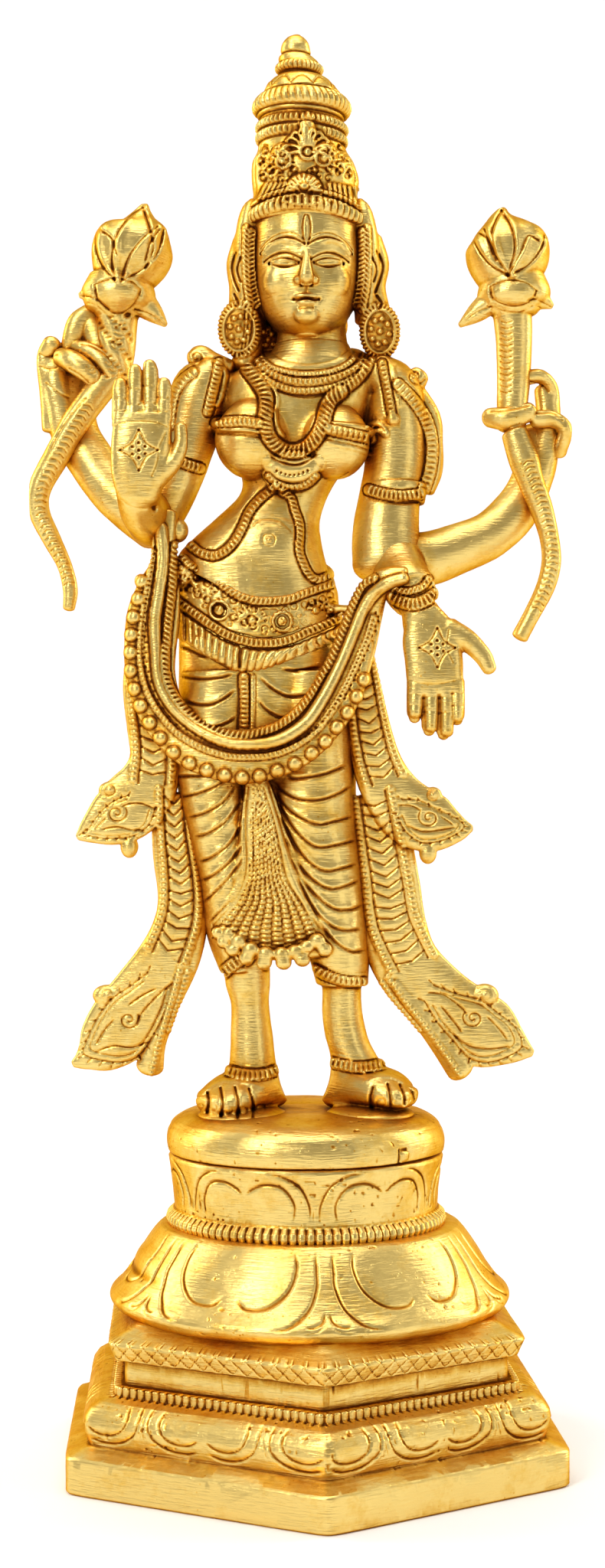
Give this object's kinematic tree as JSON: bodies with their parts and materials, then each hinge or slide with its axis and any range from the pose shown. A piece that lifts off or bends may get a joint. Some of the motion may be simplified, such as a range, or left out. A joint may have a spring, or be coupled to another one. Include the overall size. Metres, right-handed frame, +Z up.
{
  "type": "lakshmi figure",
  "caption": "Cast gilt-brass figure of a standing four-armed goddess holding lotuses, on a hexagonal lotus pedestal, for display on a flat surface.",
  "frame": {"origin": "middle of the pedestal's flat underside", "axes": "+Z up, the figure faces -Y, +X is the side of the lowered palm (the viewer's right)"},
  "size_m": [0.1163, 0.1178, 0.3031],
  "materials": {
    "figure_gilt": "hand-chased cast brass with a gilt polish, bright on the high surfaces, orange-brown residue in the recesses",
    "pedestal_gilt": "cast brass, brushed and pitted, brown patina in the chased lines"
  },
  "bodies": {
    "root": {"figure": "figure_gilt", "pedestal": "pedestal_gilt"}
  },
  "joints": []
}
